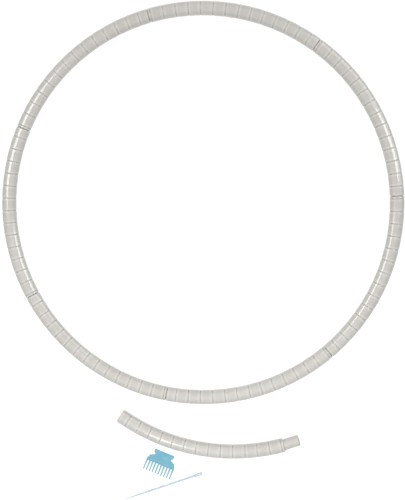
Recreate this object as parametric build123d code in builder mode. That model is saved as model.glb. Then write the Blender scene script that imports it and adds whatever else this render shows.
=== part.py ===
"""Large round weaving loom laid out flat: a ring of seven push-fit tube segments,
one spare segment, a weaving comb and a needle.

Units are millimetres and +Z is up. Everything rests on the plane Z = 0, and the origin
is the middle of the laid-out kit on that plane.
"""
from build123d import *
import os
from math import atan2, cos, degrees, radians, sin

os.makedirs("parts", exist_ok=True)

# ---------------------------------------------------------------- driving dimensions
# ring
ring_outer_diameter = 900
tube_diameter = 32
segment_count = 7
grooves_per_segment = 14
first_joint_angle = 259.73  # where segment 1 begins, counter-clockwise from +X
ring_centre = (0, 112.5)

# tube
wall = 4
end_gap = 0.7  # between the end faces of two joined tubes
end_round = 2.2  # outer edge of each end face
groove_wire_radius = 1.5  # radius of the round bottom of a thread groove
groove_depth = 0.9
first_cell = 0.79  # socket end to the first groove, as a share of the groove pitch

# push-fit
spigot_length = 35  # how far a connector stands out of its tube
spigot_diameter = 24.5
spigot_clearance = 0.35  # radial, between spigot and socket
socket_spare_depth = 2  # left beyond the spigot's tip
socket_lead_in = 0.8
connector_root = 32  # length held inside the connector's own tube
connector_wall = 2.75
tip_round = 2.0
square_start = 1.0  # the spigot is a true cylinder from here to its tip

# spare segment: middle of the chord between its two ends, and the chord's direction
spare_chord_middle = (2.1, -396.6)
spare_chord_angle = -9.4

# comb
comb_middle = (-93.5, -478.4)
comb_angle = -22
comb_width = 67
comb_body_height = 30
comb_thickness = 3.6
tooth_count = 10
tooth_length = 24
tooth_root_width = 3.5
tooth_tip_width = 2.4
handle_length = 47
handle_height = 7.5
handle_round = 2.4
waist_width = 38
shoulder_inset = 4  # each shoulder, in from the comb's full width
shoulder_height = 12.6  # above the roots of the teeth
shoulder_round = 4
side_height = 3  # upright part of each side
gullet_round = 1.2  # between two teeth
comb_edge_round = 0.5

# needle
needle_tip = (-173, -561.9)
needle_angle = 19.6
needle_length = 186
needle_shaft_diameter = 4.0
needle_tip_diameter = 1.8
needle_taper = 60  # length over which the shaft narrows to its tip
needle_head_length = 30
needle_head_width = 7.0
needle_head_thickness = 3.4
needle_eye_length = 13
needle_eye_width = 2.4
needle_eye_inset = 3.2  # head end to the eye

# ---------------------------------------------------------------- worked-out dimensions
tube_radius = tube_diameter / 2
bore_radius = tube_radius - wall
arc_radius = ring_outer_diameter / 2 - tube_radius
segment_angle = 360 / segment_count
groove_angle = segment_angle / grooves_per_segment
half_gap_angle = degrees(end_gap / 2 / arc_radius)
spigot_radius = spigot_diameter / 2
socket_radius = spigot_radius + spigot_clearance
socket_depth = spigot_length + socket_spare_depth
lean_angle = degrees(spigot_length / 2 / arc_radius)  # spigot's direction against the arc's


# ---------------------------------------------------------------- places along a segment
def segment_plane(centre, start_angle):
    """Plane of a segment's arc: origin at the arc's centre, X towards its socket end."""
    flat = Plane(origin=(centre[0], centre[1], tube_radius))
    return flat.rotated((0, 0, start_angle))


def station(segment, angle):
    """Plane square across the tube at an angle along the arc, Z along the arc, X outward."""
    turned = segment.rotated((0, 0, angle))
    return Plane(turned.origin + turned.x_dir * arc_radius, x_dir=turned.x_dir, z_dir=turned.y_dir)


def push_fit(segment, angle):
    """Plane across a push-fit that begins at this angle. Its Z is the straight line that
    meets the arc where the spigot begins and where it ends."""
    leaning = station(segment, angle + lean_angle)
    return Plane(station(segment, angle).origin, x_dir=leaning.x_dir, z_dir=leaning.z_dir)


# ---------------------------------------------------------------- segment pieces
def make_tube(segment, name):
    """Curved tube with thread grooves, a straight socket in one end and a curved bore."""
    mouth = push_fit(segment, 0)
    with BuildPart() as tube:
        with BuildSketch(station(segment, half_gap_angle)):
            Circle(tube_radius)
        revolve(
            axis=Axis(segment.origin, segment.z_dir),
            revolution_arc=segment_angle - 2 * half_gap_angle,
        )
        end_faces = tube.faces().filter_by(GeomType.PLANE)
        fillet(end_faces.edges(), end_round)
        with BuildSketch(station(segment, 0)):
            Circle(bore_radius)
        revolve(
            axis=Axis(segment.origin, segment.z_dir),
            revolution_arc=segment_angle,
            mode=Mode.SUBTRACT,
        )
        with Locations(mouth):
            Cylinder(
                socket_radius,
                socket_depth,
                align=(Align.CENTER, Align.CENTER, Align.MIN),
                mode=Mode.SUBTRACT,
            )
        with Locations(mouth.offset(-end_gap)):
            Cone(
                socket_radius + socket_lead_in + end_gap,
                socket_radius - end_gap,
                socket_lead_in + 2 * end_gap,
                align=(Align.CENTER, Align.CENTER, Align.MIN),
                mode=Mode.SUBTRACT,
            )
        for groove in range(grooves_per_segment):
            with Locations(station(segment, (first_cell + groove) * groove_angle)):
                Torus(
                    tube_radius + groove_wire_radius - groove_depth,
                    groove_wire_radius,
                    mode=Mode.SUBTRACT,
                )
    tube.part.label = name
    export_step(tube.part, f"parts/{name}.step")


def make_connector(segment, name):
    """Hollow connector: a curved root held in its own tube and a straight spigot."""
    base = push_fit(segment, segment_angle)
    root_angle = degrees(connector_root / arc_radius)
    start_angle = segment_angle - half_gap_angle - root_angle
    sweep_angle = root_angle + 2 * lean_angle
    with BuildPart() as connector:
        with BuildSketch(station(segment, start_angle)):
            Circle(bore_radius)
            Circle(bore_radius - connector_wall, mode=Mode.SUBTRACT)
        revolve(axis=Axis(segment.origin, segment.z_dir), revolution_arc=sweep_angle)
        split(bisect_by=base.offset(square_start), keep=Keep.BOTTOM)
        with BuildSketch(base.offset(square_start)):
            Circle(spigot_radius)
        extrude(amount=spigot_length - square_start)
        tip = connector.faces().filter_by(GeomType.PLANE).sort_by(Axis(base.origin, base.z_dir))[-1]
        fillet(tip.edges(), tip_round)
        with BuildSketch(base.offset(square_start)):
            Circle(spigot_radius - connector_wall)
        extrude(amount=spigot_length, mode=Mode.SUBTRACT)
    connector.part.label = name
    export_step(connector.part, f"parts/{name}.step")


# ---------------------------------------------------------------- ring
for number in range(segment_count):
    ring_segment = segment_plane(ring_centre, first_joint_angle + number * segment_angle)
    make_tube(ring_segment, f"tube_{number + 1}")
    make_connector(ring_segment, f"connector_{number + 1}")

# ---------------------------------------------------------------- spare segment
half_segment = segment_angle / 2
chord_to_centre = arc_radius * cos(radians(half_segment))
spare_centre = (
    spare_chord_middle[0] - chord_to_centre * sin(radians(spare_chord_angle)),
    spare_chord_middle[1] + chord_to_centre * cos(radians(spare_chord_angle)),
)
spare_segment = segment_plane(spare_centre, 270 + spare_chord_angle - half_segment)
make_tube(spare_segment, "spare_tube")
make_connector(spare_segment, "spare_connector")

# ---------------------------------------------------------------- comb
comb_plane = Plane(origin=(comb_middle[0], comb_middle[1], 0)).rotated((0, 0, comb_angle))
tooth_pitch = (comb_width - tooth_root_width) / (tooth_count - 1)
tooth_slope = degrees(atan2((tooth_root_width - tooth_tip_width) / 2, tooth_length))
root_y = (tooth_length - comb_body_height) / 2
top_y = root_y + comb_body_height
handle_y = top_y - handle_height
half_width = comb_width / 2
shoulder = (half_width - shoulder_inset, root_y + shoulder_height)
waist = (waist_width / 2, (shoulder[1] + handle_y) / 2 + 1)

with BuildPart() as comb:
    with BuildSketch(comb_plane) as outline:
        with BuildLine():
            side = Polyline((0, root_y), (half_width, root_y), (half_width, root_y + side_height), shoulder)
            notch = Spline(side @ 1, waist, (handle_length / 2, handle_y), tangents=[(-1, 0.6), (1, 0.15)])
            Polyline(notch @ 1, (handle_length / 2, top_y), (0, top_y))
            mirror(about=Plane.YZ)
        make_face()
        with Locations((0, root_y)):
            with GridLocations(tooth_pitch, 0, tooth_count, 1):
                Trapezoid(
                    tooth_root_width,
                    tooth_length,
                    90 - tooth_slope,
                    rotation=180,
                    align=(Align.CENTER, Align.MIN),
                )
        tooth_tips = outline.vertices().group_by(Axis.Y)[0]
        fillet(tooth_tips, tooth_tip_width * 0.45)
        on_root_line = outline.vertices().filter_by(lambda v: abs(v.Y - root_y) < 0.01)
        fillet(on_root_line.filter_by(lambda v: abs(v.X) < half_width - tooth_root_width), gullet_round)
        fillet(outline.vertices().filter_by(lambda v: v.Y > handle_y - 0.01), handle_round)
        fillet(outline.vertices().filter_by(lambda v: abs(v.Y - shoulder[1]) < 0.01), shoulder_round)
    extrude(amount=comb_thickness)
    fillet(comb.faces().filter_by(Plane.XY).edges(), comb_edge_round)
comb.part.label = "comb"
export_step(comb.part, "parts/comb.step")

# ---------------------------------------------------------------- needle
shaft_radius = needle_shaft_diameter / 2
nose_radius = needle_tip_diameter / 2
head_half_width = needle_head_width / 2
head_start = needle_length - needle_head_length
eye_middle = needle_length - needle_eye_inset - needle_eye_length / 2
lying = Plane(origin=(needle_tip[0], needle_tip[1], shaft_radius)).rotated((0, 0, needle_angle))
upright = Plane(lying.origin, x_dir=lying.x_dir, z_dir=-lying.y_dir)

with BuildPart() as needle:
    with BuildSketch(lying):
        with BuildLine():
            nose = CenterArc((nose_radius, 0), nose_radius, 180, -90)
            shaft = Polyline(nose @ 1, (needle_taper, shaft_radius), (head_start, shaft_radius))
            flare = Spline(
                shaft @ 1,
                (needle_length - head_half_width, head_half_width),
                tangents=[(1, 0), (1, 0)],
            )
            RadiusArc(flare @ 1, (needle_length, 0), head_half_width)
            Line((needle_length, 0), (0, 0))
        make_face()
    revolve(axis=Axis(lying.origin, lying.x_dir))
    with BuildSketch(upright):
        for side_of_head in (1, -1):
            with Locations((needle_length, side_of_head * (needle_head_thickness + needle_head_width) / 2)):
                Rectangle(2 * needle_head_length, needle_head_width)
    extrude(amount=needle_head_width, both=True, mode=Mode.SUBTRACT)
    with BuildSketch(lying.offset(-shaft_radius)):
        with Locations((eye_middle, 0)):
            SlotOverall(needle_eye_length, needle_eye_width)
    extrude(amount=needle_shaft_diameter, mode=Mode.SUBTRACT)
needle.part.label = "needle"
export_step(needle.part, "parts/needle.step")
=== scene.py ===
import math

import bmesh
import bpy
import numpy as np
from mathutils import Matrix, Vector
from mathutils.geometry import delaunay_2d_cdt


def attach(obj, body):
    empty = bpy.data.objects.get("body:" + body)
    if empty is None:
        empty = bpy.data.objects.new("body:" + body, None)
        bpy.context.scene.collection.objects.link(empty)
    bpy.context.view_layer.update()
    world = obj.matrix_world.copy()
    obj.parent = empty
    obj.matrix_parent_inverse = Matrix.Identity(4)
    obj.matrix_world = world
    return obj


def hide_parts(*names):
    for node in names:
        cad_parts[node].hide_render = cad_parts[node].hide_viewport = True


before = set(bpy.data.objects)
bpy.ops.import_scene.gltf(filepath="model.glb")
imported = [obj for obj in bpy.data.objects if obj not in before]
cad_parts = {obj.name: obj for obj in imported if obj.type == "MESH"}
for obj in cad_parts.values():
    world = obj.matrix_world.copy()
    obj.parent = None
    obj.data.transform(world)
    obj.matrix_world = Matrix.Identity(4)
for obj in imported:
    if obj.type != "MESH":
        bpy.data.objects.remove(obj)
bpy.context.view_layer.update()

# Large round weaving loom, laid out flat and seen from nearly above. Metres, +Z up.
MM = 0.001
TAU = 2 * math.pi

# ---------------------------------------------------------------- dimensions of the CAD part
SEGMENT_COUNT = 7
GROOVES = 14
FIRST_JOINT = math.radians(259.73)
RING_CENTRE = (0, 0.1125)
TUBE_RADIUS = 16 * MM
BORE_RADIUS = 12 * MM
ARC_RADIUS = 434 * MM
END_GAP = 0.7 * MM
END_ROUND = 2.2 * MM
GROOVE_WIRE = 1.5 * MM
GROOVE_DEPTH = 0.9 * MM
FIRST_CELL = 0.79
SPIGOT_LENGTH = 35 * MM
SPIGOT_RADIUS = 12.25 * MM
SOCKET_RADIUS = 12.6 * MM
SOCKET_DEPTH = 37 * MM
SOCKET_LEAD_IN = 0.8 * MM
CONNECTOR_ROOT = 32 * MM
CONNECTOR_WALL = 2.75 * MM
TIP_ROUND = 2.0 * MM
SPARE_CHORD_MIDDLE = (2.1 * MM, -396.6 * MM)
SPARE_CHORD_ANGLE = math.radians(-9.4)
COMB_MIDDLE = (-93.5 * MM, -478.4 * MM)
COMB_ANGLE = math.radians(-22)
COMB_THICKNESS = 3.6 * MM
TOOTH_ROOT = -3 * MM  # from the comb's middle
TOOTH_LENGTH = 24 * MM
COMB_EDGE_ROUND = 0.5 * MM
NEEDLE_TIP = (-173 * MM, -561.9 * MM)
NEEDLE_ANGLE = math.radians(19.6)
NEEDLE_LENGTH = 186 * MM
SHAFT_RADIUS = 2.0 * MM
NOSE_RADIUS = 0.9 * MM
TAPER_LENGTH = 60 * MM
HEAD_LENGTH = 30 * MM
HEAD_HALF_WIDTH = 3.5 * MM
HEAD_HALF_THICKNESS = 1.7 * MM
EYE_LENGTH = 13 * MM
EYE_WIDTH = 2.4 * MM
EYE_INSET = 3.2 * MM

SEGMENT_ANGLE = TAU / SEGMENT_COUNT
SEGMENT_LENGTH = SEGMENT_ANGLE * ARC_RADIUS  # on the centreline, as all lengths along a tube
GROOVE_PITCH = SEGMENT_LENGTH / GROOVES
LEAN = SPIGOT_LENGTH / 2 / ARC_RADIUS  # a spigot's direction against the arc's
HEAD_START = NEEDLE_LENGTH - HEAD_LENGTH
HEAD_SHOULDER = NEEDLE_LENGTH - HEAD_HALF_WIDTH  # where the head's rounded end begins
EYE_MIDDLE = NEEDLE_LENGTH - EYE_INSET - EYE_LENGTH / 2

AROUND = 80  # vertices round a tube


# ---------------------------------------------------------------- mesh helpers
def new_object(name, vertices, faces, attributes=None):
    """Smooth-shaded mesh object with its normals facing outward."""
    mesh = bpy.data.meshes.new(name)
    mesh.from_pydata([tuple(v) for v in vertices], [], faces)
    for key, values in (attributes or {}).items():
        layer = mesh.attributes.new(key, "FLOAT", "POINT")
        layer.data.foreach_set("value", np.asarray(values, np.float32))
    bm = bmesh.new()
    bm.from_mesh(mesh)
    bmesh.ops.recalc_face_normals(bm, faces=bm.faces)
    bm.to_mesh(mesh)
    bm.free()
    mesh.shade_smooth()
    mesh.update()
    obj = bpy.data.objects.new(name, mesh)
    bpy.context.scene.collection.objects.link(obj)
    return obj


def arc_place(s):
    """Centre and outward direction of the arc at length s from a segment's socket end."""
    a = s / ARC_RADIUS
    outward = np.array((math.cos(a), math.sin(a), 0))
    return ARC_RADIUS * outward, outward


def push_fit_place(start, s):
    """Centre and outward direction on the straight line of a push-fit that begins at start."""
    origin, _ = arc_place(start)
    a = start / ARC_RADIUS + LEAN
    outward = np.array((math.cos(a), math.sin(a), 0))
    along = np.array((-math.sin(a), math.cos(a), 0))
    return origin + s * along, outward


def closed_skin(name, rings, place, attributes):
    """Skin over rings of (centre, outward direction, radius), closed from last to first."""
    phi = np.arange(AROUND) * TAU / AROUND
    up = np.array((0, 0, 1.0))
    vertices = []
    for centre, outward, radius in rings:
        circle = np.outer(np.cos(phi), outward) + np.outer(np.sin(phi), up)
        vertices.append(centre + radius * circle)
    vertices = np.concatenate(vertices)
    turn, centre = place
    c, s = math.cos(turn), math.sin(turn)
    x = vertices[:, 0] * c - vertices[:, 1] * s + centre[0]
    y = vertices[:, 0] * s + vertices[:, 1] * c + centre[1]
    z = vertices[:, 2] + TUBE_RADIUS
    faces = []
    count = len(rings)
    for i in range(count):
        here, there = i * AROUND, (i + 1) % count * AROUND
        for j in range(AROUND):
            k = (j + 1) % AROUND
            faces.append((here + j, here + k, there + k, there + j))
    spread = {key: np.repeat(values, AROUND) for key, values in attributes.items()}
    # How low round the tube each vertex is: it weights the painted shade towards the low sides.
    spread["side"] = np.tile(1 - np.maximum(np.sin(phi), 0), count)
    return new_object(name, np.stack((x, y, z), 1), faces, spread)


def smooth_min(a, b, softness):
    """The lesser of a and b, blended where they differ by less than softness."""
    h = np.clip(0.5 + 0.5 * (b - a) / softness, 0, 1)
    return b + (a - b) * h - softness * h * (1 - h)


# ---------------------------------------------------------------- tube and connector
# Where rings of vertices stand: from the middle of a groove, and as shares of the way
# from one groove to the next.
GROOVE_STEPS = np.array((0, 0.35, 0.7, 0.95, 1.15, 1.3, 1.45, 1.65, 1.95, 2.4)) * MM
CELL_SHARES = (0.06, 0.2, 0.4, 0.6, 0.8, 0.94)
QUARTER_STEPS = 8  # rings along a rounded edge
LIP_SOFTNESS = 0.35 * MM  # of the two edges of a groove

# The painted highlight along a groove's lip, in millimetres: start and end are from its middle.
LIP_START = 1.2
LIP_RISE = 0.9
LIP_END = 6.5
LIP_FALL = 3.0
END_LIP_HIGHLIGHT = 0.3  # painted highlight on a tube's rounded ends

# Chamfers, and short steps that keep an edge crisp.
HAIR = 0.1 * MM  # from an edge to the ring that holds it
BORE_EDGE = 0.3 * MM  # chamfer where a bore meets an end face
BORE_EDGE_MIDDLE = 0.15 * MM
SHOULDER = 0.2 * MM  # from the bore to the socket, and from the root to the spigot
MOUTH_DEPTH = 0.08 * MM
MOUTH_STEP = 0.12 * MM
LEAD_IN_STEP = 0.05 * MM
LEAD_IN_LENGTH = 0.4 * MM
SOCKET_FLOOR = 2 * MM
ROOT_EDGE = 0.3 * MM
ROOT_SINK = 0.02 * MM  # the root is this much slimmer than the bore that holds it
SPIGOT_START = 1.2 * MM  # past the face of its own tube

# Rings along the long inner walls.
BORE_RINGS = 30
SOCKET_RINGS = 6
WALL_RINGS = 10
SPIGOT_RINGS = 14

# How much painted shade the inner faces and the end faces get, from 0 to 1.
INSIDE_SHADE = 1
LEAD_IN_SHADE = 0.8
END_FACE_SHADE = 0.5
MOUTH_SHADE = 0.3


def quarter(steps):
    """Angles of these steps along a rounded edge, in which the last is at 90 degrees."""
    return [i * math.pi / (2 * QUARTER_STEPS) for i in steps]


def groove_radius(offset):
    """Outer radius at this distance from the middle of a groove."""
    inside = np.sqrt(np.maximum(GROOVE_WIRE**2 - offset**2, 0))
    wire = TUBE_RADIUS + GROOVE_WIRE - GROOVE_DEPTH - inside
    return float(smooth_min(wire, TUBE_RADIUS, LIP_SOFTNESS))


def lip_highlight_share(offset):
    """How much of a groove's painted lip highlight is at this distance from its middle."""
    rise = np.clip((abs(offset) / MM - LIP_START) / LIP_RISE, 0, 1)
    fall = np.clip((LIP_END - abs(offset) / MM) / LIP_FALL, 0, 1)
    return float(rise * fall)


def outer_profile():
    """(length, radius, recess, lip) along the outside of a tube from end to end."""
    first, last = END_GAP / 2, SEGMENT_LENGTH - END_GAP / 2
    corner = quarter(range(QUARTER_STEPS + 1))
    profile = []
    for a in corner:
        length = first + END_ROUND * (1 - math.cos(a))
        profile.append((length, TUBE_RADIUS - END_ROUND * (1 - math.sin(a)), 0, END_LIP_HIGHLIGHT))
    previous = first + END_ROUND
    for groove in range(GROOVES):
        middle = (FIRST_CELL + groove) * GROOVE_PITCH
        edge = middle - GROOVE_STEPS[-1]
        for share in CELL_SHARES:
            length = previous + share * (edge - previous)
            nearest = min(length - previous, edge - length) + GROOVE_STEPS[-1]
            profile.append((length, TUBE_RADIUS, 0, lip_highlight_share(nearest)))
        for offset in np.concatenate((-GROOVE_STEPS[:0:-1], GROOVE_STEPS)):
            radius = groove_radius(offset)
            recess = (TUBE_RADIUS - radius) / GROOVE_DEPTH
            profile.append((middle + offset, radius, recess, lip_highlight_share(offset)))
        previous = middle + GROOVE_STEPS[-1]
    for a in reversed(corner):
        length = last - END_ROUND * (1 - math.cos(a))
        profile.append((length, TUBE_RADIUS - END_ROUND * (1 - math.sin(a)), 0, END_LIP_HIGHLIGHT))
    return profile


def make_tube(name, place):
    """Hollow curved tube: grooved outside, bore, straight socket and its lead-in."""
    rings, recess, lip = [], [], []

    def add(at, radius, depth=0.0, lip_highlight=0.0):
        rings.append((*at, radius))
        recess.append(depth)
        lip.append(lip_highlight)

    for length, radius, depth, lip_highlight in outer_profile():
        add(arc_place(length), radius, depth, lip_highlight)
    # Past the outside, the depth given is the painted shade on the end faces and in the bore and
    # socket.
    last = SEGMENT_LENGTH - END_GAP / 2
    face_edge = TUBE_RADIUS - END_ROUND
    for radius in (face_edge - HAIR, BORE_RADIUS + BORE_EDGE, BORE_RADIUS + BORE_EDGE_MIDDLE):
        add(arc_place(last), radius, END_FACE_SHADE)
    bore_start = SOCKET_DEPTH + SHOULDER
    for length in np.linspace(last - BORE_EDGE_MIDDLE, bore_start, BORE_RINGS):
        add(arc_place(length), BORE_RADIUS, INSIDE_SHADE)
    shoulder = ((BORE_RADIUS + HAIR, 0), (SOCKET_RADIUS - HAIR, 0), (SOCKET_RADIUS, HAIR))
    for radius, inset in shoulder:
        add(push_fit_place(0, SOCKET_DEPTH - inset), radius, INSIDE_SHADE)
    socket_end = SOCKET_LEAD_IN + LEAD_IN_LENGTH
    for length in np.linspace(SOCKET_DEPTH - SOCKET_FLOOR, socket_end, SOCKET_RINGS):
        add(push_fit_place(0, length), SOCKET_RADIUS, INSIDE_SHADE)
    add(push_fit_place(0, SOCKET_LEAD_IN), SOCKET_RADIUS + LEAD_IN_STEP, LEAD_IN_SHADE)
    first = END_GAP / 2
    mouth = SOCKET_RADIUS + SOCKET_LEAD_IN
    add(arc_place(first + MOUTH_DEPTH), mouth - MOUTH_STEP, END_FACE_SHADE)
    for radius in (mouth, mouth + HAIR, face_edge - HAIR):
        add(arc_place(first), radius, MOUTH_SHADE)
    return closed_skin(name, rings, place, {"recess": recess, "lip": lip})


def make_connector(name, place):
    """Hollow connector: curved root in its own tube, straight spigot with a rounded tip."""
    end = SEGMENT_LENGTH
    inner = SPIGOT_RADIUS - CONNECTOR_WALL
    root_inner = BORE_RADIUS - CONNECTOR_WALL
    rings = []
    root_start = end - END_GAP / 2 - CONNECTOR_ROOT
    root_end = end - SHOULDER
    rings.append((*arc_place(root_start), BORE_RADIUS - ROOT_EDGE))
    for length in np.linspace(root_start + ROOT_EDGE, root_end, WALL_RINGS):
        rings.append((*arc_place(length), BORE_RADIUS - ROOT_SINK))
    for length in np.linspace(SPIGOT_START, SPIGOT_LENGTH - TIP_ROUND, SPIGOT_RINGS):
        rings.append((*push_fit_place(end, length), SPIGOT_RADIUS))
    for a in quarter(range(1, QUARTER_STEPS + 1)):
        length = SPIGOT_LENGTH - TIP_ROUND * (1 - math.sin(a))
        rings.append((*push_fit_place(end, length), SPIGOT_RADIUS - TIP_ROUND * (1 - math.cos(a))))
    rings.append((*push_fit_place(end, SPIGOT_LENGTH), inner + BORE_EDGE))
    rings.append((*push_fit_place(end, SPIGOT_LENGTH - MOUTH_DEPTH), inner + MOUTH_DEPTH))
    for length in np.linspace(SPIGOT_LENGTH - BORE_EDGE, SPIGOT_START, WALL_RINGS):
        rings.append((*push_fit_place(end, length), inner))
    for length in np.linspace(root_end, root_start + ROOT_EDGE, WALL_RINGS):
        rings.append((*arc_place(length), root_inner))
    rings.append((*arc_place(root_start), root_inner + ROOT_EDGE))
    return closed_skin(name, rings, place, {})


# ---------------------------------------------------------------- comb
LEVEL_TOLERANCE = 0.02 * MM  # of the vertices at the top of the CAD comb's wall
KEY_DIGITS = 6  # decimals of a metre in which one vertex is the same as another
OUTLINE_STEP = 0.7 * MM
EDGE_STEPS = np.array((0.1, 0.28, 0.5, 0.8)) * MM  # rows of points inside the outline
EDGE_SHARE = 0.9  # of its step that a row keeps from every part of the outline
COMB_GRID = 1.3 * MM
GRID_MARGIN = 0.25 * MM  # between the last row and the grid
MERGE_DISTANCE = 1e-4  # millimetres, as are the points that it is used on

TOP_ROUND = 0.75 * MM
ROOT_STEP = 0.45 * MM  # how much thinner the teeth are than the body, at their roots
ROOT_STEP_START = 1.6 * MM  # above the roots
ROOT_STEP_LENGTH = 1.1 * MM
TIP_THINNING = 0.95 * MM  # how much thinner still the teeth are at their tips

RIM_WIDTH = 1.1 * MM  # of the darker line along the outline
ROOT_LINE = 1.0 * MM  # above the roots, the middle of the line across the teeth
ROOT_LINE_WIDTH = 0.8 * MM
ROOT_LINE_SHADE = 0.7  # next to 1 along the outline


def wall_outline(obj, height):
    """Outline of a flat moulding: the closed chain of its edges at the top of its wall."""
    joined = {}
    for edge in obj.data.edges:
        a, b = (obj.data.vertices[i].co for i in edge.vertices)
        if max(abs(a.z - height), abs(b.z - height)) < LEVEL_TOLERANCE:
            ends = [(round(v.x, KEY_DIGITS), round(v.y, KEY_DIGITS)) for v in (a, b)]
            if ends[0] != ends[1]:
                joined.setdefault(ends[0], set()).add(ends[1])
                joined.setdefault(ends[1], set()).add(ends[0])
    outline = [min(joined)]
    outline.append(min(joined[outline[0]]))
    while outline[-1] != outline[0]:
        ahead = joined[outline[-1]] - {outline[-2]}
        outline.append(min(ahead))
    return np.array(outline[:-1])


def divide(outline, step):
    """Closed outline with no run longer than step."""
    points = []
    for a, b in zip(outline, np.roll(outline, -1, 0)):
        count = math.ceil(np.linalg.norm(b - a) / step)
        points += [a + (b - a) * i / count for i in range(count)]
    return np.array(points)


def depth_inside(points, outline):
    """Distance of each point from the outline, positive inside it."""
    a, b = outline, np.roll(outline, -1, 0)
    run = b - a
    away = points[:, None] - a
    share = np.clip((away * run).sum(2) / (run**2).sum(1), 0, 1)
    distance = np.linalg.norm(away - share[..., None] * run, axis=2).min(1)
    x, y = points[:, :1], points[:, 1:]
    spans = (a[:, 1] > y) != (b[:, 1] > y)
    level = np.where(run[:, 1] == 0, 1, run[:, 1])
    crossed = spans & (x < a[:, 0] + (y - a[:, 1]) * run[:, 0] / level)
    return np.where(crossed.sum(1) % 2 == 1, distance, -distance)


def comb_thickness(along):
    """Thickness at a distance along the teeth's direction from the comb's middle."""
    step = np.clip((TOOTH_ROOT + ROOT_STEP_START - along) / ROOT_STEP_LENGTH, 0, 1)
    taper = np.clip((TOOTH_ROOT - along) / TOOTH_LENGTH, 0, 1)
    return COMB_THICKNESS - ROOT_STEP * step**2 * (3 - 2 * step) - TIP_THINNING * taper


def comb_points(outline):
    """Outline, rows that follow it inside and a grid within them."""
    tangent = np.roll(outline, -1, 0) - np.roll(outline, 1, 0)
    normal = np.stack((-tangent[:, 1], tangent[:, 0]), 1)
    normal /= np.linalg.norm(normal, axis=1)[:, None]
    if depth_inside(outline[:1] + normal[:1] * EDGE_STEPS[0], outline)[0] < 0:
        normal = -normal
    inner = []
    for step in EDGE_STEPS:
        ring = outline + step * normal
        inner.append(ring[depth_inside(ring, outline) > EDGE_SHARE * step])
    low, high = outline.min(0), outline.max(0)
    columns, rows = (np.arange(low[i], high[i], COMB_GRID) for i in (0, 1))
    grid = np.stack(np.meshgrid(columns, rows), 2).reshape(-1, 2)
    inner.append(grid[depth_inside(grid, outline) > EDGE_STEPS[-1] + GRID_MARGIN])
    return np.concatenate([outline, *inner])


def make_comb(name, cad_comb):
    """Comb with soft edges, and teeth that step down from the body and thin to their tips."""
    outline = divide(wall_outline(cad_comb, COMB_THICKNESS - COMB_EDGE_ROUND), OUTLINE_STEP)
    flat = [Vector(p) for p in comb_points(outline) / MM]
    rim = list(range(len(outline)))
    points, _, triangles, _, _, _ = delaunay_2d_cdt(flat, [], [rim], 1, MERGE_DISTANCE)
    points = np.array([tuple(p) for p in points]) * MM

    depth = np.maximum(depth_inside(points, outline), 0)
    up = np.array((-math.sin(COMB_ANGLE), math.cos(COMB_ANGLE)))
    along = (points - np.array(COMB_MIDDLE)) @ up
    top_left = TOP_ROUND - np.minimum(depth, TOP_ROUND)
    top = comb_thickness(along) - TOP_ROUND + np.sqrt(TOP_ROUND**2 - top_left**2)
    bottom_left = COMB_EDGE_ROUND - np.minimum(depth, COMB_EDGE_ROUND)
    bottom = COMB_EDGE_ROUND - np.sqrt(COMB_EDGE_ROUND**2 - bottom_left**2)

    count = len(points)
    vertices = [(*p, z) for level in (top, bottom) for p, z in zip(points, level)]
    faces = [tuple(t) for t in triangles]
    faces += [tuple(i + count for i in reversed(t)) for t in triangles]
    sides = dict.fromkeys((a, b) for t in triangles for a, b in zip(t, t[1:] + t[:1]))
    faces += [(b, a, a + count, b + count) for a, b in sides if (b, a) not in sides]
    rim_shade = 1 - np.clip(depth / RIM_WIDTH, 0, 1)
    root_shade = np.exp(-(((along - TOOTH_ROOT - ROOT_LINE) / ROOT_LINE_WIDTH) ** 2))
    shade = np.tile(np.maximum(rim_shade, ROOT_LINE_SHADE * root_shade), 2)
    return new_object(name, vertices, faces, {"rim": shade})


# ---------------------------------------------------------------- needle
NEEDLE_AROUND = 48
SHAFT_RINGS = 40
FLARE_RINGS = 30
END_ANGLES = np.radians(np.arange(8, 90, 9))  # rings on the rounded tip and head
FLATTENING = 3 * MM  # length over which the head comes down to its thickness
FLATTENING_START = 0.3 * MM  # above the shaft, so that the shaft stays round
HEAD_EDGE_SOFTNESS = 0.25 * MM
SHARP_ANGLE = math.radians(50)


def needle_half_width(x):
    """Half of the needle's width at a distance from its tip."""
    if x < NOSE_RADIUS:
        return math.sqrt(NOSE_RADIUS**2 - (NOSE_RADIUS - x) ** 2)
    if x < TAPER_LENGTH:
        taper = TAPER_LENGTH - NOSE_RADIUS
        return NOSE_RADIUS + (SHAFT_RADIUS - NOSE_RADIUS) * (x - NOSE_RADIUS) / taper
    if x < HEAD_SHOULDER:
        u = max(x - HEAD_START, 0) / (HEAD_SHOULDER - HEAD_START)
        return SHAFT_RADIUS + (HEAD_HALF_WIDTH - SHAFT_RADIUS) * u**2 * (3 - 2 * u)
    return math.sqrt(HEAD_HALF_WIDTH**2 - (x - HEAD_SHOULDER) ** 2)


def lay_needle(points):
    """Points from the needle's own axes to its place on the floor."""
    c, s = math.cos(NEEDLE_ANGLE), math.sin(NEEDLE_ANGLE)
    x, y, z = np.asarray(points).T
    tip_x, tip_y = NEEDLE_TIP
    return np.stack((tip_x + x * c - y * s, tip_y + x * s + y * c, SHAFT_RADIUS + z), 1)


def loft(name, rings):
    """Closed skin through rings of points, with a flat face on the first and the last."""
    around = len(rings[0])
    last = (len(rings) - 1) * around
    faces = [tuple(range(around)), tuple(last + j for j in reversed(range(around)))]
    for i in range(len(rings) - 1):
        for j in range(around):
            k = (j + 1) % around
            here, there = i * around, (i + 1) * around
            faces.append((here + j, there + j, there + k, here + k))
    return new_object(name, lay_needle(np.concatenate(rings)), faces)


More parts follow.
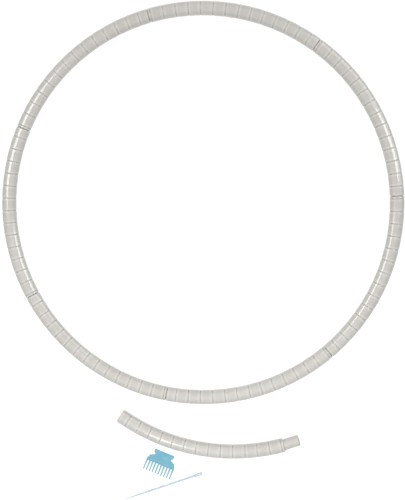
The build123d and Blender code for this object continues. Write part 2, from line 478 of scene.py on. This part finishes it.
def cut(obj, cutter):
    """Takes the cutter's volume out of a mesh for good."""
    modifier = obj.modifiers.new("cut", "BOOLEAN")
    modifier.object = cutter
    bpy.context.view_layer.update()
    whole = obj.evaluated_get(bpy.context.evaluated_depsgraph_get())
    mesh = bpy.data.meshes.new_from_object(whole)
    obj.modifiers.clear()
    obj.data = mesh
    bpy.data.objects.remove(cutter)


def make_needle(name):
    """Needle: rounded tip, long taper, round shaft and a flattened head with an eye."""
    turn = np.arange(NEEDLE_AROUND) * TAU / NEEDLE_AROUND
    stations = np.concatenate((
        NOSE_RADIUS * (1 - np.cos(END_ANGLES)),
        np.linspace(NOSE_RADIUS, HEAD_START, SHAFT_RINGS),
        np.linspace(HEAD_START, HEAD_SHOULDER, FLARE_RINGS)[1:],
        HEAD_SHOULDER + HEAD_HALF_WIDTH * np.sin(END_ANGLES),
    ))
    flattening = (HEAD_START, HEAD_START + FLATTENING)
    thickness = (SHAFT_RADIUS + FLATTENING_START, HEAD_HALF_THICKNESS)
    rings = []
    for x in stations:
        width = needle_half_width(x)
        flat = np.interp(x, flattening, thickness)
        rise = width * np.sin(turn)
        rise = np.sign(rise) * smooth_min(np.abs(rise), flat, HEAD_EDGE_SOFTNESS)
        rings.append(np.stack((np.full(NEEDLE_AROUND, x), width * np.cos(turn), rise), 1))
    obj = loft(name, rings)

    run = (EYE_LENGTH - EYE_WIDTH) / 2
    between = turn + turn[1] / 2  # half a step off, so that no point meets one of the loft's
    eye_x = EYE_MIDDLE + EYE_WIDTH / 2 * np.cos(between) + run * np.sign(np.cos(between))
    eye_y = EYE_WIDTH / 2 * np.sin(between)
    levels = (-2 * HEAD_HALF_THICKNESS, 2 * HEAD_HALF_THICKNESS)
    eye = [np.stack((eye_x, eye_y, np.full(NEEDLE_AROUND, z)), 1) for z in levels]
    cut(obj, loft("eye", eye))
    obj.data.set_sharp_from_angle(angle=SHARP_ANGLE)
    return obj


# ---------------------------------------------------------------- materials
BUMP_DEPTH = 0.02 * MM
NEEDLE_BUMP_DEPTH = 0.015 * MM
FLOOR_BUMP_DEPTH = 0.01 * MM
FLOOR_GLOW = 0.7  # the floor's own light, as on a light table

# Painted shade in the grooves and inside the tubes, least on top of a tube and most low on its
# sides.
PAINTED_SHADE_ON_TOP = 0.3
PAINTED_SHADE_LOW_ON_SIDES = 0.8
SIDE_SHADE_FALLOFF = 1.6


class Material:
    """Node-based material with short calls for the nodes used here."""

    def __init__(self, name):
        self.material = bpy.data.materials.new(name)
        self.material.use_nodes = True
        self.tree = self.material.node_tree
        self.shader = self.tree.nodes["Principled BSDF"]
        self.position = self.node("ShaderNodeTexCoord").outputs["Object"]

    def node(self, kind, **settings):
        made = self.tree.nodes.new(kind)
        for key, value in settings.items():
            setattr(made, key, value)
        return made

    def put(self, target, value):
        if isinstance(value, bpy.types.NodeSocket):
            self.tree.links.new(value, target)
        else:
            target.default_value = value

    def noise(self, scale, detail, roughness=0.55, stretch=None):
        texture = self.node("ShaderNodeTexNoise")
        vector = self.position
        if stretch:
            mapping = self.node("ShaderNodeMapping")
            self.put(mapping.inputs["Vector"], vector)
            mapping.inputs["Scale"].default_value = stretch
            vector = mapping.outputs["Vector"]
        self.put(texture.inputs["Vector"], vector)
        texture.inputs["Scale"].default_value = scale
        texture.inputs["Detail"].default_value = detail
        texture.inputs["Roughness"].default_value = roughness
        return texture.outputs["Fac"]

    def attribute(self, name):
        return self.node("ShaderNodeAttribute", attribute_name=name).outputs["Fac"]

    def remap(self, value, low, high, to_low=0.0, to_high=1.0):
        made = self.node("ShaderNodeMapRange", interpolation_type="SMOOTHSTEP")
        self.put(made.inputs["Value"], value)
        made.inputs["From Min"].default_value = low
        made.inputs["From Max"].default_value = high
        made.inputs["To Min"].default_value = to_low
        made.inputs["To Max"].default_value = to_high
        return made.outputs["Result"]

    def math(self, operation, a, b):
        made = self.node("ShaderNodeMath", operation=operation)
        self.put(made.inputs[0], a)
        self.put(made.inputs[1], b)
        return made.outputs[0]

    def mix(self, factor, a, b):
        made = self.node("ShaderNodeMix", data_type="RGBA")
        self.put(made.inputs["Factor"], factor)
        self.put(made.inputs["A"], a)
        self.put(made.inputs["B"], b)
        return made.outputs["Result"]

    def patches(self, scale, detail, low, high, roughness=0.55, stretch=None):
        """Mask from noise, 0 where the noise is under low and 1 where it is over high."""
        return self.remap(self.noise(scale, detail, roughness, stretch), low, high)

    def tint(self, colour, mask, strength, tone):
        """Colour that goes towards a tone where the mask is 1."""
        return self.mix(self.math("MULTIPLY", mask, strength), colour, tone)

    def raised(self, value, mask, by):
        """Value that is greater by this much where the mask is 1."""
        return self.math("ADD", value, self.math("MULTIPLY", mask, by))

    def finish(self, colour, roughness, height, distance, **constants):
        """Feeds the shader, and sets its constants on its own sockets."""
        bump = self.node("ShaderNodeBump")
        bump.inputs["Distance"].default_value = distance
        bump.inputs["Strength"].default_value = 1.0
        self.put(bump.inputs["Height"], height)
        self.put(self.shader.inputs["Base Color"], colour)
        self.put(self.shader.inputs["Roughness"], roughness)
        self.put(self.shader.inputs["Normal"], bump.outputs["Normal"])
        for key, value in constants.items():
            self.shader.inputs[key.replace("_", " ")].default_value = value
        return self.material


def srgb(red, green, blue):
    """Linear colour from 0-255 display values."""
    linear = []
    for value in (red, green, blue):
        v = value / 255
        linear.append(v / 12.92 if v <= 0.04045 else ((v + 0.055) / 1.055) ** 2.4)
    return (*linear, 1.0)


def tube_plastic(name):
    """Glossy warm grey, with painted highlights at the grooves' lips and painted shade in the
    grooves and inside the tube.
    """
    m = Material(name)
    cloud = m.patches(scale=9, detail=4, low=0.35, high=0.65)
    mottle = m.patches(scale=70, detail=3, low=0.3, high=0.7)
    specks = m.patches(scale=900, detail=2, low=0.62, high=0.8)
    scuffs = m.patches(scale=240, detail=5, low=0.58, high=0.75, roughness=0.7)
    recess = m.attribute("recess")
    colour = m.mix(cloud, srgb(187, 184, 179), srgb(192, 190, 186))
    colour = m.tint(colour, mottle, strength=0.35, tone=srgb(181, 178, 173))
    colour = m.tint(colour, specks, strength=0.25, tone=srgb(164, 160, 154))
    # Painted highlight: lighter along the grooves' lips and on the rounded ends.
    colour = m.tint(colour, m.attribute("lip"), strength=0.6, tone=srgb(205, 203, 199))
    low_sides = m.math("POWER", m.attribute("side"), SIDE_SHADE_FALLOFF)
    shade_by_side = m.raised(PAINTED_SHADE_ON_TOP, low_sides, by=PAINTED_SHADE_LOW_ON_SIDES)
    painted_shade = m.math("MULTIPLY", m.remap(recess, 0.1, 0.9), shade_by_side)
    # Painted shade: darker in the grooves, on the end faces and in the bore and socket, most low
    # on the sides.
    colour = m.mix(painted_shade, colour, srgb(138, 132, 126))
    roughness = m.remap(m.noise(32, 4), 0.3, 0.7, to_low=0.14, to_high=0.24)
    roughness = m.raised(roughness, scuffs, by=0.12)
    roughness = m.raised(roughness, recess, by=0.2)
    height = m.raised(m.noise(1400, 3), scuffs, by=-0.8)
    return m.finish(
        colour, roughness, height, BUMP_DEPTH, IOR=1.53, Coat_Weight=1.0, Coat_Roughness=0.06
    )


def connector_plastic(name):
    """The tubes' grey, less glossy and rubbed along the spigot."""
    m = Material(name)
    cloud = m.patches(scale=26, detail=4, low=0.35, high=0.65)
    scuffs = m.patches(scale=180, detail=5, low=0.56, high=0.74, roughness=0.7)
    rubbed = m.patches(scale=60, detail=4, low=0.5, high=0.75, roughness=0.6, stretch=(1, 1, 6))
    colour = m.mix(cloud, srgb(188, 185, 180), srgb(193, 191, 187))
    colour = m.tint(colour, rubbed, strength=0.4, tone=srgb(176, 172, 166))
    colour = m.tint(colour, scuffs, strength=0.3, tone=srgb(166, 161, 155))
    roughness = m.remap(m.noise(38, 4), 0.3, 0.7, to_low=0.2, to_high=0.32)
    roughness = m.raised(roughness, scuffs, by=0.15)
    height = m.raised(m.noise(1500, 3), scuffs, by=-1.0)
    return m.finish(
        colour, roughness, height, BUMP_DEPTH, IOR=1.53, Coat_Weight=0.2, Coat_Roughness=0.1
    )


def comb_plastic(name):
    """Light blue, with painted shade along the rim and across the roots of the teeth."""
    m = Material(name)
    cloud = m.patches(scale=55, detail=4, low=0.32, high=0.68)
    streaks = m.patches(scale=40, detail=3, low=0.4, high=0.7, roughness=0.5, stretch=(1, 4, 1))
    scuffs = m.patches(scale=420, detail=5, low=0.58, high=0.76, roughness=0.7)
    colour = m.mix(cloud, srgb(99, 161, 183), srgb(110, 170, 190))
    colour = m.tint(colour, streaks, strength=0.3, tone=srgb(92, 155, 178))
    colour = m.tint(colour, scuffs, strength=0.25, tone=srgb(160, 207, 222))
    # Painted shade along the outline and across the roots of the teeth.
    colour = m.tint(colour, m.attribute("rim"), strength=0.6, tone=srgb(74, 152, 182))
    roughness = m.remap(m.noise(90, 4), 0.3, 0.7, to_low=0.24, to_high=0.38)
    roughness = m.raised(roughness, scuffs, by=0.15)
    height = m.raised(m.noise(2200, 3), scuffs, by=-1.0)
    return m.finish(
        colour, roughness, height, BUMP_DEPTH, IOR=1.5, Coat_Weight=0.1, Coat_Roughness=0.12
    )


def needle_plastic(name):
    """Very pale blue with faint scuffs."""
    m = Material(name)
    cloud = m.patches(scale=70, detail=4, low=0.32, high=0.68)
    scuffs = m.patches(scale=500, detail=5, low=0.6, high=0.78, roughness=0.7)
    colour = m.mix(cloud, srgb(166, 190, 201), srgb(175, 198, 208))
    colour = m.tint(colour, scuffs, strength=0.35, tone=srgb(150, 176, 189))
    roughness = m.remap(m.noise(110, 4), 0.3, 0.7, to_low=0.22, to_high=0.36)
    height = m.raised(m.noise(2400, 3), scuffs, by=-1.0)
    return m.finish(
        colour, roughness, height, NEEDLE_BUMP_DEPTH, IOR=1.5, Coat_Weight=0.15, Coat_Roughness=0.1
    )


def floor_paint(name):
    """Plain pale floor with some light of its own."""
    m = Material(name)
    cloud = m.patches(scale=1.2, detail=4, low=0.3, high=0.7)
    colour = m.mix(cloud, srgb(166, 166, 166), srgb(170, 170, 170))
    m.shader.inputs["Emission Color"].default_value = (1, 1, 1, 1)
    m.shader.inputs["Emission Strength"].default_value = FLOOR_GLOW
    roughness = m.remap(m.noise(8, 3), 0.3, 0.7, to_low=0.7, to_high=0.8)
    return m.finish(colour, roughness, m.noise(600, 3), FLOOR_BUMP_DEPTH)


def dress(obj, material):
    """Gives a mesh this material and no other."""
    obj.data.materials.clear()
    obj.data.materials.append(material)


# ---------------------------------------------------------------- pieces
tube_material = tube_plastic("ring_tube_plastic")
connector_material = connector_plastic("connector_plastic")
comb_material = comb_plastic("comb_plastic")
needle_material = needle_plastic("needle_plastic")

# The spare segment's place, from the middle and the direction of its chord.
half_segment = SEGMENT_ANGLE / 2
chord_to_centre = ARC_RADIUS * math.cos(half_segment)
spare_centre = (
    SPARE_CHORD_MIDDLE[0] - chord_to_centre * math.sin(SPARE_CHORD_ANGLE),
    SPARE_CHORD_MIDDLE[1] + chord_to_centre * math.cos(SPARE_CHORD_ANGLE),
)
spare_turn = math.radians(270) + SPARE_CHORD_ANGLE - half_segment

segments, spare_pieces = [], []
for number in range(SEGMENT_COUNT):
    turn = FIRST_JOINT + number * SEGMENT_ANGLE
    k = number + 1
    segments.append((f"tube_{k}", f"connector_{k}", f"segment_{k}", (turn, RING_CENTRE)))
segments.append(("spare_tube", "spare_connector", "spare_segment", (spare_turn, spare_centre)))

for tube_node, connector_node, body, place in segments:
    tube = make_tube(f"fine_{tube_node}", place)
    dress(tube, tube_material)
    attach(tube, body)
    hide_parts(tube_node)
    connector = make_connector(f"fine_{connector_node}", place)
    dress(connector, connector_material)
    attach(connector, body)
    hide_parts(connector_node)
    if body == "spare_segment":
        spare_pieces += [tube, connector]

comb = make_comb("fine_comb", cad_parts["comb"])
dress(comb, comb_material)
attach(comb, "comb")
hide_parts("comb")
needle = make_needle("fine_needle")
dress(needle, needle_material)
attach(needle, "needle")
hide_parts("needle")

# ---------------------------------------------------------------- floor, light and camera
scene = bpy.context.scene
scene.view_settings.view_transform = "Standard"

FLOOR_HALF = 60.0  # far enough out to fill the low views
FLOOR_BELOW = 0.2 * MM
corners = [(-1, -1), (1, -1), (1, 1), (-1, 1)]
floor = new_object(
    "floor",
    [(x * FLOOR_HALF, y * FLOOR_HALF, -FLOOR_BELOW) for x, y in corners],
    [(0, 1, 2, 3)],
)
dress(floor, floor_paint("floor_paint"))
floor.visible_diffuse = False  # so that it doesn't light the tubes' edges from below
floor.visible_glossy = False

HORIZON_LIGHT = 0.56
ZENITH_LIGHT = 0.96
FAR_SIDE_LIGHT = 0.35  # added towards +Y
SKY_COLOUR = (1.0, 0.99, 0.98, 1)

world = bpy.data.worlds.new("studio")
world.use_nodes = True
nodes = world.node_tree.nodes
background = nodes["Background"]
background.inputs["Color"].default_value = SKY_COLOUR
direction = nodes.new("ShaderNodeTexCoord")
split = nodes.new("ShaderNodeSeparateXYZ")
height = nodes.new("ShaderNodeMath")
height.operation = "ABSOLUTE"
brightness = nodes.new("ShaderNodeMapRange")
brightness.inputs["To Min"].default_value = HORIZON_LIGHT
brightness.inputs["To Max"].default_value = ZENITH_LIGHT
far_side = nodes.new("ShaderNodeMath")
far_side.operation = "MULTIPLY"
far_side.use_clamp = True
far_side.inputs[1].default_value = FAR_SIDE_LIGHT
total = nodes.new("ShaderNodeMath")
for output, target in (
    (direction.outputs["Generated"], split.inputs[0]),
    (split.outputs["Z"], height.inputs[0]),
    (height.outputs[0], brightness.inputs["Value"]),
    (split.outputs["Y"], far_side.inputs[0]),
    (brightness.outputs["Result"], total.inputs[0]),
    (far_side.outputs[0], total.inputs[1]),
    (total.outputs[0], background.inputs["Strength"]),
):
    world.node_tree.links.new(output, target)
scene.world = world


def soft_box(name, position, target, long, tall, radiance, gloss=True, lit=()):
    """Rectangular soft light aimed at a point: long is its level side and tall the other.
    With gloss it gives only highlights, and without only matt light. If lit has objects,
    it lights no others."""
    data = bpy.data.lights.new(name, "AREA")
    data.shape = "RECTANGLE"
    data.size = long
    data.size_y = tall
    data.energy = radiance * math.pi * long * tall
    obj = bpy.data.objects.new(name, data)
    obj.visible_camera = False
    obj.visible_diffuse = not gloss
    obj.visible_glossy = gloss
    obj.location = position
    obj.rotation_euler = (Vector(position) - Vector(target)).to_track_quat("Z", "Y").to_euler()
    scene.collection.objects.link(obj)
    if lit:
        obj.light_linking.receiver_collection = bpy.data.collections.new(f"lit_by_{name}")
        for piece in lit:
            obj.light_linking.receiver_collection.objects.link(piece)


soft_box(
    "overhead_panel",
    position=(-0.12, -0.72, 1.4),
    target=(-0.12, -0.72, 0),
    long=1.2,
    tall=1.2,
    radiance=2.35,
    gloss=False,
)
soft_box(
    "left_soft_box",
    position=(-0.97, 0.406, 1.2),
    target=(-0.41, 0.256, 0),
    long=0.62,
    tall=0.78,
    radiance=4.3,
)
soft_box(
    "right_soft_box",
    position=(1.17, 0.496, 1.0),
    target=(0.41, 0.246, 0),
    long=0.50,
    tall=0.72,
    radiance=4.6,
)
soft_box(
    "right_sheen_box",
    position=(1.3, 0.9, 0.46),
    target=(0.38, 0.3, 0),
    long=1.6,
    tall=0.9,
    radiance=1.8,
)
soft_box(
    "spare_soft_box",
    position=(-0.215, -0.73, 1.2),
    target=(-0.08, -0.418, 0),
    long=0.12,
    tall=0.55,
    radiance=6.0,
    lit=spare_pieces,
)

CAMERA_PLACE = Vector((0.1885, 0.1769, 2.616))  # 5.5 degrees off vertical
CAMERA_TARGET = Vector((0.0036, 0.0110, TUBE_RADIUS))
SENSOR = 36  # millimetres
FOCAL_IN_HEIGHTS = 2.334  # focal length as a multiple of the picture's height
CLIP_END = 100

camera_data = bpy.data.cameras.new("camera")
camera_data.sensor_width = SENSOR
camera_data.lens = SENSOR * FOCAL_IN_HEIGHTS
camera_data.clip_end = CLIP_END
camera = bpy.data.objects.new("camera", camera_data)
looking = (CAMERA_PLACE - CAMERA_TARGET).normalized()
across = Vector((0, 1, 0)).cross(looking).normalized()
upward = looking.cross(across)
camera.matrix_world = Matrix((across, upward, looking)).transposed().to_4x4()
camera.location = CAMERA_PLACE
scene.collection.objects.link(camera)
scene.camera = camera
